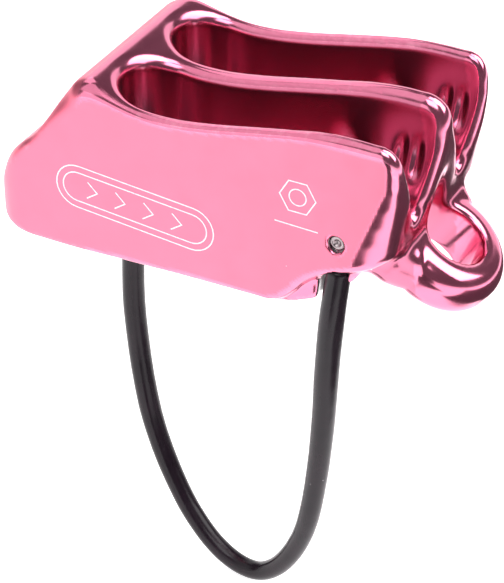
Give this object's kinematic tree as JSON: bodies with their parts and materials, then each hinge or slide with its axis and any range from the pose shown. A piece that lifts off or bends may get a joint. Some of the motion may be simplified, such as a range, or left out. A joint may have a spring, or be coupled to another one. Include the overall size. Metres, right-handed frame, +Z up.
{
  "type": "belay device",
  "caption": "Guide-mode tube belay device: aluminium body with side-by-side rope slots, V-grooves, an anchor hole, a release eye and a sprung cable keeper loop.",
  "frame": {"origin": "on the axis of the anchor hole, 6.9 mm above the underside", "axes": "+X along the rope slots from the nose to the release eye, +Y across the two slots, +Z up along the anchor hole, out of the slots' mouths; the keeper loop hangs towards -Z"},
  "size_m": [0.0847, 0.0348, 0.1008],
  "materials": {
    "anodised_body": "pink anodised, satin sides and polished rims",
    "sheath_plastic": "gloss",
    "cable_steel": "stranded",
    "sleeve_steel": "turned",
    "pin_steel": "cut end"
  },
  "bodies": {
    "device": {"body": "anodised_body", "end_sleeve_right": "sleeve_steel", "end_sleeve_left": "sleeve_steel", "retaining_pin": "pin_steel"},
    "keeper": {"keeper_sheath": "sheath_plastic", "keeper_cable": "cable_steel"}
  },
  "joints": [
    {"name": "keeper_swing", "type": "hinge", "parent": "device", "child": "keeper", "pos_m": [0.0543, -0.0146, -0.0042], "axis": [0.9458, -0.3189, 0.0612], "range_deg": [-30, 30], "stiffness_Nm_per_rad": 0.1}
  ]
}
